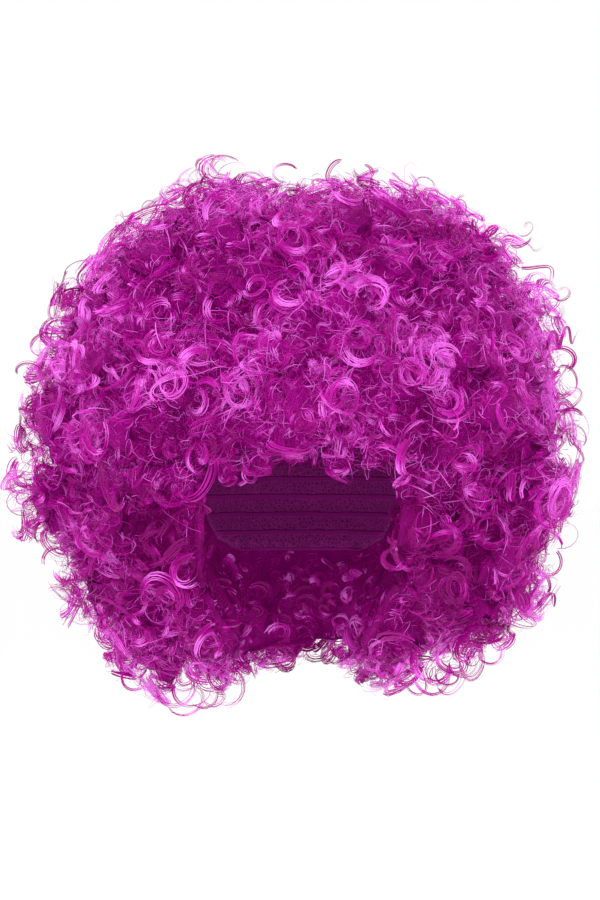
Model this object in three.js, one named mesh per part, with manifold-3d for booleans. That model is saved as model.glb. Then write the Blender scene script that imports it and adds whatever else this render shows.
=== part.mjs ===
// Afro wig: a stretch cap, and curly hair sewn round it in tiers.
// Millimetres, +Z up. The wig faces -Y, and the wearer's left is +X.
// The origin is where the crown of the head touches the inside of the cap.
import * as THREE from "three";
import { mergeVertices } from "three/addons/utils/BufferGeometryUtils.js";
import Module from "manifold-3d";

const wasm = await Module();
wasm.setup();

// The head that the cap fits
const headHalfWidth = 74;
const headHalfLength = 93;
const crownToTemple = 95; // from the crown down to the head's widest level
const templeToNeck = 122; // from there down to where the skull's curve would close
const capWall = 2;

// The cap's edge, as heights below the crown, front to back
const hairlineDrop = 58;
const earTabDrop = 128;
const earArchDrop = 104;
const napeDrop = 160;
const earTabWidth = 24;

// The hair's outer form, before its locks
const hairAboveCrown = 68;
const hairBelowCrown = 235;
const hairHalfWidth = 163;
const hairFront = 128;
const hairBack = 160;
const sideSag = 14; // how much lower the hair hangs at the wearer's right than at the left
const clumpRelief = 5; // how far the form swells and sinks
const clumpsRound = 9; // swells in one turn round the hair

// The opening for the face, and the neck's passage
const faceHalfWidth = 66;
const fringeDrop = 106; // from the crown down to the fringe's lower edge
const fringeArch = 14; // how much higher the fringe's edge is in the middle
const neckHalfWidth = 43;
const neckHalfLength = 52;
const neckBehind = 12; // how far the neck's middle lies behind the head's
const passageRise = 30; // how far the neck's passage reaches above the nape's edge
const cutOverrun = 20; // how far the openings are cut past the hair's lowest level
const foreheadHang = 14; // how far the longest lock hangs over the forehead

// The tiers that the hair is sewn in
const crownHalfAngle = 46; // degrees, of the cone that parts the crown from the rest
const fringeHalfAngle = 37; // degrees to each side of the face
const backHalfAngle = 52; // degrees to each side of the back
const tierGap = 0.8;
const seamGap = 0.5; // between the cap and the hair round it

// One lock: a thick tuft of curls, fullest a little above its foot and bent over at its tip
const lockCount = 107;
const lockRoot = 16; // half its thickness at the foot
const lockBelly = 21; // half its thickness where it is fullest
const lockNeck = 0.7; // its thickness before the tip, as a share of the fullest
const lockTip = 5; // half its thickness at the tip
const lockBend = 145; // degrees that it turns from foot to tip
const lockArc = 15; // the radius of that bend
const lockRooting = 9; // how deep its foot is sunk
const lockLean = 0.7; // how far its axis may lean from the form's outward direction
const lockDroop = 0.2; // how far its axis is turned down
const smallestLock = 0.9;
const lockSpread = 0.4; // how much larger the largest lock is

const turn = Math.PI * 2;
const far = 600; // longer than anything here, for cutting blocks
const sliver = 0.05; // edges shorter than this are merged
const mergedEdge = 0.5; // the same for the hair before it is cut into tiers

// Each row is one level of the hair's form: its height as a share of the whole, and its
// reach to the wearer's right and left, the front and the back as shares of the largest.
const hairLevels = [
  { height: 1.0, right: 0.0, left: 0.0, front: 0.0, back: 0.0 },
  { height: 0.985, right: 0.33, left: 0.42, front: 0.3, back: 0.34 },
  { height: 0.95, right: 0.54, left: 0.62, front: 0.52, back: 0.56 },
  { height: 0.89, right: 0.7, left: 0.77, front: 0.7, back: 0.73 },
  { height: 0.81, right: 0.83, left: 0.87, front: 0.84, back: 0.86 },
  { height: 0.71, right: 0.95, left: 0.96, front: 0.94, back: 0.95 },
  { height: 0.59, right: 1.0, left: 1.0, front: 1.0, back: 1.0 },
  { height: 0.47, right: 1.0, left: 1.0, front: 0.97, back: 1.0 },
  { height: 0.36, right: 0.99, left: 0.98, front: 0.82, back: 0.97 },
  { height: 0.26, right: 0.94, left: 0.95, front: 0.74, back: 0.91 },
  { height: 0.17, right: 0.86, left: 0.88, front: 0.68, back: 0.82 },
  { height: 0.09, right: 0.75, left: 0.75, front: 0.6, back: 0.7 },
  { height: 0.03, right: 0.6, left: 0.59, front: 0.5, back: 0.56 },
  { height: 0.0, right: 0.46, left: 0.45, front: 0.42, back: 0.44 },
];

// The locks that hang over the forehead: place across the face opening as a share of its
// half width, drop below the fringe's level as a share of the longest, size as a share of a
// whole lock, and lean to the side and spin in degrees.
const foreheadLocks = [
  { across: -0.8, drop: 1.0, size: 0.6, lean: 25, spin: 0 },
  { across: -0.38, drop: 0.9, size: 0.55, lean: -15, spin: 120 },
  { across: 0.0, drop: 0.1, size: 0.5, lean: 20, spin: 240 },
  { across: 0.34, drop: 0.6, size: 0.55, lean: -20, spin: 0 },
  { across: 0.78, drop: 0.5, size: 0.55, lean: -10, spin: 120 },
];

const hairHeight = hairAboveCrown + hairBelowCrown;
const templeLevel = -crownToTemple;
const fringeLevel = -fringeDrop;
const coneShift = tierGap / 2 / Math.sin(THREE.MathUtils.degToRad(crownHalfAngle));

// A closed three.js geometry as a solid that can be joined and cut.
function solid(geometry) {
  const bare = geometry.clone();
  bare.deleteAttribute("normal");
  bare.deleteAttribute("uv");
  const merged = mergeVertices(bare, 1e-4);
  const vertProperties = merged.attributes.position.array;
  const triVerts = new Uint32Array(merged.index.array);
  return new wasm.Manifold(new wasm.Mesh({ numProp: 3, vertProperties, triVerts }));
}

// The largest shell of a solid: the ends of locks that a cut leaves loose are combed away.
function combed(cut) {
  const shells = cut.simplify(sliver).decompose();
  return shells.reduce((best, shell) => (shell.volume() > best.volume() ? shell : best));
}

// A solid as a named three.js mesh.
function piece(name, made, material) {
  const { numProp, numVert, vertProperties, triVerts } = made.getMesh();
  const position = new Float32Array(numVert * 3);
  for (let i = 0; i < numVert; i++) {
    position.set(vertProperties.subarray(i * numProp, i * numProp + 3), i * 3);
  }
  const geometry = new THREE.BufferGeometry();
  geometry.setAttribute("position", new THREE.BufferAttribute(position, 3));
  geometry.setIndex(new THREE.BufferAttribute(triVerts, 1));
  geometry.computeVertexNormals();
  const mesh = new THREE.Mesh(geometry, material);
  mesh.name = name;
  return mesh;
}

// A repeatable number from 0 to 1 for each lock and use.
function scatter(index, use) {
  const wave = Math.sin(index * 12.9898 + use * 78.233) * 43758.5453;
  return wave - Math.floor(wave);
}

// The skull's form, larger all round by an offset.
function headForm(offset) {
  const rows = 10;
  const profile = [];
  for (let i = 0; i <= rows; i++) {
    const angle = -Math.PI / 2 + (Math.PI * i) / rows;
    const reach = Math.sin(angle) > 0 ? crownToTemple : templeToNeck;
    const round = i === 0 || i === rows ? 0 : Math.cos(angle);
    profile.push(new THREE.Vector2(round, Math.sin(angle) * (reach + offset)));
  }
  const form = new THREE.LatheGeometry(profile, 24);
  form.rotateX(Math.PI / 2);
  form.scale(headHalfWidth + offset, headHalfLength + offset, 1);
  form.translate(0, 0, templeLevel);
  return solid(form);
}

// Everything below the cap's edge, drawn from the side and extruded through the head.
function belowCapEdge() {
  const front = -headHalfLength;
  const tabMiddle = -headHalfLength * 0.2;
  const edge = new THREE.SplineCurve([
    new THREE.Vector2(front * 1.4, -hairlineDrop),
    new THREE.Vector2(front * 0.85, -hairlineDrop),
    new THREE.Vector2(tabMiddle - earTabWidth, -(hairlineDrop + earTabDrop) / 2),
    new THREE.Vector2(tabMiddle - earTabWidth / 2, -earTabDrop),
    new THREE.Vector2(tabMiddle + earTabWidth / 2, -earTabDrop),
    new THREE.Vector2(tabMiddle + earTabWidth, -earArchDrop),
    new THREE.Vector2(headHalfLength * 0.32, -earArchDrop),
    new THREE.Vector2(headHalfLength * 0.52, -napeDrop),
    new THREE.Vector2(headHalfLength * 1.5, -napeDrop),
  ]);
  const outline = edge.getPoints(28);
  outline.push(new THREE.Vector2(headHalfLength * 1.5, -far / 2));
  outline.push(new THREE.Vector2(front * 1.4, -far / 2));
  const block = new THREE.ExtrudeGeometry(new THREE.Shape(outline), {
    depth: far,
    bevelEnabled: false,
  });
  // The outline's plane is turned from XY to YZ.
  block.translate(0, 0, -far / 2);
  block.applyMatrix4(new THREE.Matrix4().set(0, 0, 1, 0, 1, 0, 0, 0, 0, 1, 0, 0, 0, 0, 0, 1));
  return solid(block);
}

// The reach of the hair's form at a level, as shares read between the table's rows.
function levelAt(share) {
  const last = hairLevels.length - 1;
  let i = 0;
  while (i < last - 1 && hairLevels[i + 1].height > share) i++;
  const upper = hairLevels[i];
  const lower = hairLevels[i + 1];
  const mix = (upper.height - share) / (upper.height - lower.height);
  const read = (column) => upper[column] + (lower[column] - upper[column]) * mix;
  const [right, left] = [read("right"), read("left")];
  return { right, left, front: read("front"), back: read("back") };
}

// A point of the hair's form. Azimuth is 0 at the face and grows towards the wearer's left.
function formPoint(azimuth, share) {
  const level = levelAt(share);
  const reachY = Math.cos(azimuth) > 0 ? level.front * hairFront : level.back * hairBack;
  const reachX = Math.sin(azimuth) > 0 ? level.left : level.right;
  const x = Math.sin(azimuth) * reachX * hairHalfWidth;
  const y = -Math.cos(azimuth) * reachY;
  const swell = Math.sin(azimuth * clumpsRound + share * 9) * Math.sin(share * clumpsRound * 2.2);
  const grow = 1 + (clumpRelief * swell) / hairHalfWidth;
  const sag = (sideSag / 2) * Math.sin(azimuth) * (1 - share) ** 3;
  return new THREE.Vector3(x * grow, y * grow, sag - hairBelowCrown + share * hairHeight);
}

// The outward direction of the hair's form there.
function formNormal(azimuth, share) {
  const step = 0.02;
  const across = formPoint(azimuth + step, share).sub(formPoint(azimuth - step, share));
  const up = formPoint(azimuth, share + step / 2).sub(formPoint(azimuth, share - step / 2));
  return across.cross(up).normalize();
}

// The hair's whole outer form: a lathe whose points are moved out to the table's reaches.
function hairForm() {
  const profile = [new THREE.Vector2(0, 0)];
  for (const level of hairLevels.slice(1).reverse()) {
    profile.push(new THREE.Vector2(1, level.height));
  }
  profile.push(new THREE.Vector2(0, 1));
  const form = new THREE.LatheGeometry(profile, 28);
  const place = form.attributes.position;
  for (let i = 0; i < place.count; i++) {
    const [x, share, z] = [place.getX(i), place.getY(i), place.getZ(i)];
    const onAxis = Math.hypot(x, z) < 0.5;
    const point = formPoint(Math.atan2(x, z), share);
    if (onAxis) point.set(0, 0, -hairBelowCrown + share * hairHeight);
    place.setXYZ(i, point.x, point.y, point.z);
  }
  return solid(form);
}

// The passage below the skull for the neck.
function neckPassage() {
  const top = -napeDrop + passageRise;
  const bottom = -hairBelowCrown - cutOverrun;
  const column = new THREE.CylinderGeometry(1, 1, top - bottom, 22);
  column.rotateX(Math.PI / 2);
  column.scale(neckHalfWidth, neckHalfLength, 1);
  column.translate(0, neckBehind, (top + bottom) / 2);
  return solid(column);
}

// The opening in front of the face, drawn from the front and extruded back to the head's middle.
function faceOpening() {
  const bottom = -hairBelowCrown - cutOverrun;
  const jawLevel = fringeLevel - (hairBelowCrown - fringeDrop) * 0.55;
  const outline = new THREE.Shape();
  outline.moveTo(-faceHalfWidth, fringeLevel);
  outline.lineTo(-faceHalfWidth, jawLevel);
  outline.lineTo(-neckHalfWidth, -hairBelowCrown * 0.97);
  outline.lineTo(-neckHalfWidth, bottom);
  outline.lineTo(neckHalfWidth, bottom);
  outline.lineTo(neckHalfWidth, -hairBelowCrown * 0.97);
  outline.lineTo(faceHalfWidth, jawLevel);
  outline.lineTo(faceHalfWidth, fringeLevel);
  outline.absellipse(0, fringeLevel, faceHalfWidth, fringeArch, 0, Math.PI, false);
  const block = new THREE.ExtrudeGeometry(outline, {
    depth: far,
    bevelEnabled: false,
    curveSegments: 10,
  });
  block.rotateX(Math.PI / 2);
  return solid(block);
}

// A lock that rises from the origin and bends over towards +X.
function lockForm() {
  const widths = [lockRoot, lockBelly, lockBelly * lockNeck, lockTip];
  const last = widths.length - 1;
  const profile = [new THREE.Vector2(0, 0)];
  widths.forEach((width, i) => profile.push(new THREE.Vector2(width, i / last)));
  profile.push(new THREE.Vector2(0, 1));
  const lock = new THREE.LatheGeometry(profile, 5);
  const place = lock.attributes.position;
  for (let i = 0; i < place.count; i++) {
    const angle = place.getY(i) * THREE.MathUtils.degToRad(lockBend);
    const reach = lockArc - place.getX(i);
    const x = lockArc - Math.cos(angle) * reach;
    place.setXYZ(i, x, -place.getZ(i), Math.sin(angle) * reach);
  }
  return solid(lock);
}

// A lock stood at a foot, with its axis along a direction, turned and sized.
function placedLock(form, foot, axis, spin, size) {
  const upright = new THREE.Vector3(0, 0, 1);
  const aim = new THREE.Quaternion().setFromUnitVectors(upright, axis);
  const twist = new THREE.Quaternion().setFromAxisAngle(upright, spin);
  const matrix = new THREE.Matrix4().compose(
    foot.clone().addScaledVector(axis, -lockRooting),
    aim.multiply(twist),
    new THREE.Vector3(size, size, size),
  );
  return form.transform(matrix.elements);
}

// A pie slice of space between two azimuths, kept half a tier gap inside both.
function slice(from, to, low, high) {
  const outline = new THREE.Shape();
  outline.moveTo(0, 0);
  const steps = 8;
  for (let i = 0; i <= steps; i++) {
    const azimuth = THREE.MathUtils.degToRad(from + ((to - from) * i) / steps);
    outline.lineTo(Math.sin(azimuth) * far, -Math.cos(azimuth) * far);
  }
  const block = new THREE.ExtrudeGeometry(outline, { depth: high - low, bevelEnabled: false });
  const middle = THREE.MathUtils.degToRad((from + to) / 2);
  const half = THREE.MathUtils.degToRad((to - from) / 2);
  const shift = tierGap / 2 / Math.sin(half);
  block.translate(Math.sin(middle) * shift, -Math.cos(middle) * shift, low);
  return solid(block);
}

// The cone that parts the crown's hair from the tiers below it.
function crownCone(shift) {
  const height = far / 2;
  const reach = Math.tan(THREE.MathUtils.degToRad(crownHalfAngle)) * height;
  const cone = new THREE.CylinderGeometry(reach, 0, height, 30);
  cone.rotateX(Math.PI / 2);
  cone.translate(0, 0, templeLevel + height / 2 + shift);
  return solid(cone);
}

// Each tier of hair: its name, its slice in degrees, and whether it is above the fringe's level.
const tiers = [
  { name: "fringe_hair", from: -fringeHalfAngle, to: fringeHalfAngle, upper: true },
  { name: "left_temple_hair", from: fringeHalfAngle, to: 180 - backHalfAngle, upper: true },
  { name: "right_temple_hair", from: backHalfAngle - 180, to: -fringeHalfAngle, upper: true },
  { name: "back_hair", from: 180 - backHalfAngle, to: 180 + backHalfAngle, upper: true },
  { name: "left_side_hair", from: 0, to: 180 - backHalfAngle, upper: false },
  { name: "right_side_hair", from: backHalfAngle - 180, to: 0, upper: false },
  { name: "nape_hair", from: 180 - backHalfAngle, to: 180 + backHalfAngle, upper: false },
];

function tierRegion(tier) {
  if (tier.upper) {
    const region = slice(tier.from, tier.to, fringeLevel + tierGap / 2, far / 2);
    return region.subtract(crownCone(-coneShift));
  }
  return slice(tier.from, tier.to, -far, fringeLevel - tierGap / 2);
}

// How far a point lies outside the opening for the face.
function clearOfFace(point) {
  if (point.y > 0 || point.z > fringeLevel + fringeArch) return far;
  const beside = Math.abs(point.x) - faceHalfWidth;
  const above = point.z > fringeLevel ? point.z - fringeLevel - fringeArch : -far;
  return Math.max(beside, above);
}

// The level of the form that has a share of its outer surface below it.
function shareBelowArea(part) {
  const steps = 60;
  const areas = [0];
  for (let i = 1; i <= steps; i++) {
    const below = levelAt((i - 1) / steps);
    const above = levelAt(i / steps);
    const climb = Math.hypot((above.back - below.back) * hairHalfWidth, hairHeight / steps);
    areas.push(areas[i - 1] + climb * (above.back + below.back));
  }
  const sought = part * areas[steps];
  const next = areas.findIndex((area) => area > sought);
  return (next - 1 + (sought - areas[next - 1]) / (areas[next] - areas[next - 1])) / steps;
}

// The locks all over the hair's form, kept out of the openings.
function locksAllOver(form) {
  const golden = Math.PI * (3 - Math.sqrt(5));
  const made = [];
  for (let i = 0; i < lockCount; i++) {
    const share = shareBelowArea((i + 0.5) / lockCount);
    const azimuth = i * golden;
    const foot = formPoint(azimuth, share);
    if (clearOfFace(foot) < lockTip || clearOfNeck(foot) < lockTip) continue;
    const lean = new THREE.Vector3(scatter(i, 1) - 0.5, scatter(i, 2) - 0.5, scatter(i, 3) - 0.5);
    const axis = formNormal(azimuth, share).addScaledVector(lean, lockLean);
    axis.z -= lockDroop;
    const size = smallestLock + lockSpread * scatter(i, 4);
    made.push(placedLock(form, foot, axis.normalize(), scatter(i, 5) * turn, size));
  }
  return made;
}

// How far a point below the temples lies outside the neck's passage.
function clearOfNeck(point) {
  if (point.z > templeLevel) return far;
  return Math.hypot(point.x, point.y - neckBehind) - neckHalfLength;
}

// The locks that hang from the fringe's edge.
function locksOverForehead(form) {
  return foreheadLocks.map((row) => {
    const x = row.across * faceHalfWidth;
    const hang = (lockArc + lockBelly * lockNeck - lockRooting) * row.size;
    const front = hairFront * Math.sqrt(1 - (x / hairHalfWidth) ** 2);
    const foot = new THREE.Vector3(x, -front * 0.86, fringeLevel - row.drop * foreheadHang + hang);
    const lean = THREE.MathUtils.degToRad(row.lean);
    const axis = new THREE.Vector3(Math.sin(lean) * 0.5, -0.6, -1).normalize();
    return placedLock(form, foot, axis, THREE.MathUtils.degToRad(row.spin), row.size);
  });
}

const hairMaterial = new THREE.MeshStandardMaterial({
  color: 0xb0109a,
  roughness: 0.45,
  metalness: 0,
});
const capMaterial = new THREE.MeshStandardMaterial({
  color: 0x4a0a44,
  roughness: 0.9,
  metalness: 0,
});

const wig = new THREE.Group();

const cap = headForm(capWall).subtract(headForm(0)).subtract(belowCapEdge());
wig.add(piece("cap", cap.simplify(sliver), capMaterial));

const hollow = headForm(capWall + seamGap).add(neckPassage()).add(faceOpening());
const lock = lockForm();
const mass = wasm.Manifold.union([hairForm(), ...locksAllOver(lock)]).subtract(hollow);
const hair = mass.simplify(mergedEdge);

wig.add(piece("crown_hair", combed(hair.intersect(crownCone(coneShift))), hairMaterial));
for (const tier of tiers) {
  let made = combed(hair.intersect(tierRegion(tier)));
  if (tier.name === "fringe_hair") {
    made = combed(wasm.Manifold.union([made, ...locksOverForehead(lock)]));
  }
  wig.add(piece(tier.name, made, hairMaterial));
}

export default wig;
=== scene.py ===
import math

import bmesh
import bpy
import numpy as np
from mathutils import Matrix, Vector


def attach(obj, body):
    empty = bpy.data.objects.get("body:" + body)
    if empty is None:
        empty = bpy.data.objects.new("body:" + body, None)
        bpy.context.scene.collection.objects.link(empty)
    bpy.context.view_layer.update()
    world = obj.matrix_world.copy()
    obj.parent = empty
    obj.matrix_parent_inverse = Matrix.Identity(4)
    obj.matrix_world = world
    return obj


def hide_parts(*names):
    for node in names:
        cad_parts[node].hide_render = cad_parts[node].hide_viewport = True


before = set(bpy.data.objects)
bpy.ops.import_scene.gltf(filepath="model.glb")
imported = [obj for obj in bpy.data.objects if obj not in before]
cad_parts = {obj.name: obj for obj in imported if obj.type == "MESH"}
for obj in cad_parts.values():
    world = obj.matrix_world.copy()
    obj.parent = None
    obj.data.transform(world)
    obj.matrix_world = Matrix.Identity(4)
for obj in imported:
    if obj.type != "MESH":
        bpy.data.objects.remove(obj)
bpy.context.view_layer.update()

# The middle of the head, from which the tiers' seams run out in straight lines
middle = np.array([0.0, 0.0, -0.095])

# The look that all the tiers share. Lengths are in metres.
hair = {
    "sink": 0.0135,  # how far the mass lies under the solid's surface
    "edge": 0.0125,  # edges of the mass longer than this are divided
    "outside": 0.06,  # how far a face has to look away from the middle to be rounded
    "roundings": 8,  # how often the mass is smoothed
    "rounding": 0.6,  # how much of the way to its neighbours' mean a point then goes
    "lump": 0.003,  # height of the waves that are then laid on it
    "lump spacing": 0.03,
    "clump": 0.029,  # spacing of the clumps that the curls gather in
    "scatter": 0.0022,  # how far a clump's whorls stray from its middle
    "whorl lean": 0.3,  # how far they lean with the clump, and each by itself
    "whorl stray": 0.12,
    "lift": 0.007,  # how far the middle of a clump stands up
    "square": 0.5,  # how far other curls stand square to the mass, and lean out of the clump
    "spread": 0.25,
    "clearance": 0.8,  # how far curls keep out of the face opening, as a share of their radius
    "tone": 0.44,  # from 0 for the darkest dye to 1 for the palest
    "uneven": 0.13,  # how much the tone differs between clumps, and between curls
    "painted clump light": 0.14,  # how much paler the middle of a clump is: painted light on clumps, painted shade between them
    "patches": 0.13,  # how much the tone changes over the whole wig
    "patch spacing": 0.1,
}

# The kinds of curl, as ranges to draw from: lengths in metres, turns in full turns, roll in
# radians from facing along the axis. A curl is a row of strands side by side.
kinds = {
    "whorls": {
        "way": "facing",
        "radius": (0.005, 0.0155),
        "narrowing": (0.6, 1.0),
        "turns": (0.6, 1.15),
        "rise": (0.004, 0.010),
        "roll": (0.0, 0.7),
        "half": (0.0010, 0.0034),
        "height": (0.006, 0.0095),
        "strands": 9,
        "steps": 10,
        "fray": 0.0010,
        "tone": 0.0,
    },
    "rings": {
        "way": "facing",
        "radius": (0.0045, 0.0095),
        "narrowing": (0.5, 0.95),
        "turns": (0.7, 1.3),
        "rise": (0.006, 0.012),
        "roll": (0.0, 1.1),
        "half": (0.0010, 0.0026),
        "height": (0.005, 0.009),
        "strands": 7,
        "steps": 9,
        "fray": 0.0008,
        "tone": -0.02,
    },
    "ringlets": {
        "way": "hanging",
        "radius": (0.0034, 0.0066),
        "narrowing": (0.7, 1.1),
        "turns": (1.0, 1.7),
        "rise": (0.009, 0.018),
        "roll": (1.0, 1.7),
        "half": (0.0010, 0.0022),
        "height": (0.002, 0.007),
        "strands": 6,
        "steps": 12,
        "fray": 0.0010,
        "tone": 0.0,
    },
    "hooks": {
        "way": "standing",
        "radius": (0.0045, 0.0105),
        "narrowing": (0.5, 0.95),
        "turns": (0.45, 0.85),
        "rise": (-0.008, 0.008),
        "roll": (0.2, 1.6),
        "half": (0.0010, 0.0026),
        "height": (-0.002, 0.003),
        "strands": 6,
        "steps": 7,
        "fray": 0.0014,
        "tone": -0.09,
    },
    "strays": {
        "way": "standing",
        "radius": (0.0050, 0.0115),
        "narrowing": (0.55, 1.1),
        "turns": (0.55, 1.15),
        "rise": (-0.012, 0.012),
        "roll": (0.2, 1.6),
        "half": (0.0002, 0.0007),
        "height": (0.004, 0.011),
        "strands": 2,
        "steps": 12,
        "fray": 0.0012,
        # A paler tone: painted light, as of light shining through the thin hair
        "tone": 0.12,
    },
    "fibres": {
        "way": "any",
        "radius": (0.0025, 0.0080),
        "narrowing": (0.5, 1.4),
        "turns": (0.5, 1.2),
        "rise": (-0.010, 0.010),
        "roll": (0.0, 1.6),
        "half": (0.00010, 0.00022),
        "height": (0.001, 0.008),
        "strands": 1,
        "steps": 8,
        "fray": 0.003,
        # A paler tone: painted light, as of light shining through the thin hair
        "tone": 0.16,
    },
    "lining": {
        "way": "facing",
        "radius": (0.004, 0.009),
        "narrowing": (0.5, 0.95),
        "turns": (0.6, 1.3),
        "rise": (0.001, 0.003),
        "roll": (0.0, 0.3),
        "half": (0.0012, 0.0030),
        "height": (0.0012, 0.0016),
        "strands": 5,
        "steps": 10,
        "fray": 0.0002,
        "tone": 0.0,
    },
}


def unit(v):
    return v / np.maximum(np.linalg.norm(v, axis=-1, keepdims=True), 1e-12)


# A mesh from triangles. Each vertex carries where it lies on its lock, across and along in
# millimetres, and its tone, with the painted light and shade in it.
def meshFrom(name, points, faces, lay, material):
    mesh = bpy.data.meshes.new(name)
    mesh.vertices.add(len(points))
    mesh.vertices.foreach_set("co", points.astype(np.float32).ravel())
    mesh.loops.add(faces.size)
    mesh.loops.foreach_set("vertex_index", faces.astype(np.int32).ravel())
    mesh.polygons.add(len(faces))
    mesh.polygons.foreach_set("loop_start", np.arange(0, faces.size, 3, dtype=np.int32))
    mesh.polygons.foreach_set("use_smooth", np.ones(len(faces), dtype=bool))
    mesh.update(calc_edges=True)
    layer = mesh.attributes.new("lay", "FLOAT_VECTOR", "POINT")
    layer.data.foreach_set("vector", lay.astype(np.float32).ravel())
    mesh.materials.append(material)
    made = bpy.data.objects.new(name, mesh)
    bpy.context.scene.collection.objects.link(made)
    return made


# Flat strips along paths of equal length, turned to face "flat".
def stripsAlong(path, flat, half, tone, across):
    count, steps, _ = path.shape
    ahead = np.gradient(path, axis=1)
    side = unit(np.cross(flat, ahead)) * half[..., None]
    points = np.stack([path - side, path + side], axis=2).reshape(-1, 3)
    a = (np.arange(count) * steps * 2)[:, None] + (np.arange(steps - 1) * 2)[None]
    faces = np.stack([a, a + 2, a + 3, a, a + 3, a + 1], axis=-1).reshape(-1, 3)
    length = np.cumsum(np.linalg.norm(np.diff(path, axis=1, prepend=path[:, :1]), axis=2), axis=1)
    lay = np.empty((count, steps, 2, 3))
    lay[..., 0] = (across[:, None, None] + np.array([-1, 1]) * half[..., None]) * 1000
    lay[..., 1] = length[..., None] * 1000
    lay[..., 2] = tone[..., None]
    return points, faces, lay.reshape(-1, 3)


# Parts of one mesh put together.
def joined(parts):
    points, faces, lay, base = [], [], [], 0
    for p, f, t in parts:
        points.append(p)
        faces.append(f + base)
        lay.append(t)
        base += len(p)
    return np.concatenate(points), np.concatenate(faces), np.concatenate(lay)


# Smooth noise from a few waves, mostly between -1 and 1.
def waves(points, scale, seed):
    rng = np.random.default_rng(seed)
    total = np.zeros(points.shape[:-1])
    for i in range(5):
        way = unit(rng.normal(size=3)) * (2 * math.pi / scale) * (0.7 + 0.25 * i)
        total += np.sin(points @ way + rng.uniform(0, 2 * math.pi))
    return total / 3.2


# A closed copy of a solid, with every edge longer than "edge" divided, three times over.
def dividedCopy(node, edge):
    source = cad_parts[node]
    work = bmesh.new()
    work.from_mesh(source.data)
    bmesh.ops.transform(work, matrix=source.matrix_world, verts=work.verts)
    bmesh.ops.remove_doubles(work, verts=work.verts, dist=1e-6)
    for _ in range(3):
        long = [e for e in work.edges if e.calc_length() > edge]
        bmesh.ops.subdivide_edges(work, edges=long, cuts=1)
        bmesh.ops.triangulate(work, faces=work.faces)
    return work


def pointsAndFaces(work):
    work.verts.index_update()
    points = np.array([v.co for v in work.verts])
    faces = np.array([[v.index for v in f.verts] for f in work.faces])
    work.free()
    return points, faces


def normalsAndAreas(points, faces):
    a, b, c = (points[faces[:, i]] for i in range(3))
    cross = np.cross(b - a, c - a)
    return unit(cross), np.linalg.norm(cross, axis=1) / 2


# The fine closed mass of a tier. The faces that look away from the middle of the head are
# rounded and sunk straight towards it, so that the mass keeps to the tier's seams.
def roundedMass(points, faces, seed):
    normal, _ = normalsAndAreas(points, faces)
    centre = points[faces].mean(axis=1)
    outer = np.sum(normal * unit(centre - middle), axis=1) > hair["outside"]
    mine = np.zeros(len(points), dtype=bool)
    mine[faces[outer].ravel()] = True
    reach = np.linalg.norm(points - middle, axis=1)
    way = unit(points - middle)
    pairs = np.concatenate([faces[outer][:, ends] for ends in ([0, 1], [1, 2], [2, 0])])
    both = np.concatenate([pairs, pairs[:, ::-1]])
    near = np.bincount(both[:, 0], minlength=len(points))
    for _ in range(hair["roundings"]):
        total = np.bincount(both[:, 0], weights=reach[both[:, 1]], minlength=len(points))
        mean = np.where(near > 0, total / np.maximum(near, 1), reach)
        reach = np.where(mine, reach * (1 - hair["rounding"]) + mean * hair["rounding"], reach)
    bump = hair["lump"] * waves(points, hair["lump spacing"], seed)
    reach = np.where(mine, reach - hair["sink"] + bump, reach)
    return middle + way * reach[:, None], outer


print("materials")


def newMaterial(name):
    made = bpy.data.materials.new(name)
    made.use_nodes = True
    return made, made.node_tree.nodes, made.node_tree.links, made.node_tree.nodes["Principled BSDF"]


# The colours of the dyed hair from the darkest tone to the palest, which also colour the painted
# shade and painted highlights
dyeAndPaintedLightTones = [
    (0.0, (0.25, 0.0003, 0.15, 1)),
    (0.17, (0.31, 0.0004, 0.185, 1)),
    (0.37, (0.40, 0.0008, 0.26, 1)),
    (0.65, (0.54, 0.004, 0.395, 1)),
    (1.0, (0.86, 0.165, 0.82, 1)),
]


# A node group that turns a tone from 0 to 1 into the colour of the dyed hair, painted light and
# shade included.
def dyeAndPaintedLightColour():
    group = bpy.data.node_groups.new("dye and painted light colour", "ShaderNodeTree")
    group.interface.new_socket("Tone", in_out="INPUT", socket_type="NodeSocketFloat")
    group.interface.new_socket("Colour", in_out="OUTPUT", socket_type="NodeSocketColor")
    nodes, links = group.nodes, group.links
    start, end = nodes.new("NodeGroupInput"), nodes.new("NodeGroupOutput")
    ramp = nodes.new("ShaderNodeValToRGB")
    ramp.color_ramp.elements[0].position, ramp.color_ramp.elements[0].color = dyeAndPaintedLightTones[0]
    ramp.color_ramp.elements[1].position, ramp.color_ramp.elements[1].color = dyeAndPaintedLightTones[-1]
    for place, colour in dyeAndPaintedLightTones[1:-1]:
        ramp.color_ramp.elements.new(place).color = colour
    links.new(start.outputs["Tone"], ramp.inputs["Fac"])
    links.new(ramp.outputs["Color"], end.inputs["Colour"])
    return group


# The fine fibres within a strand: how often they change across and along it, per millimetre
fibreShape = {"across": 1.4, "along": 0.05, "detail": 2, "roughness": 0.6}


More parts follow.
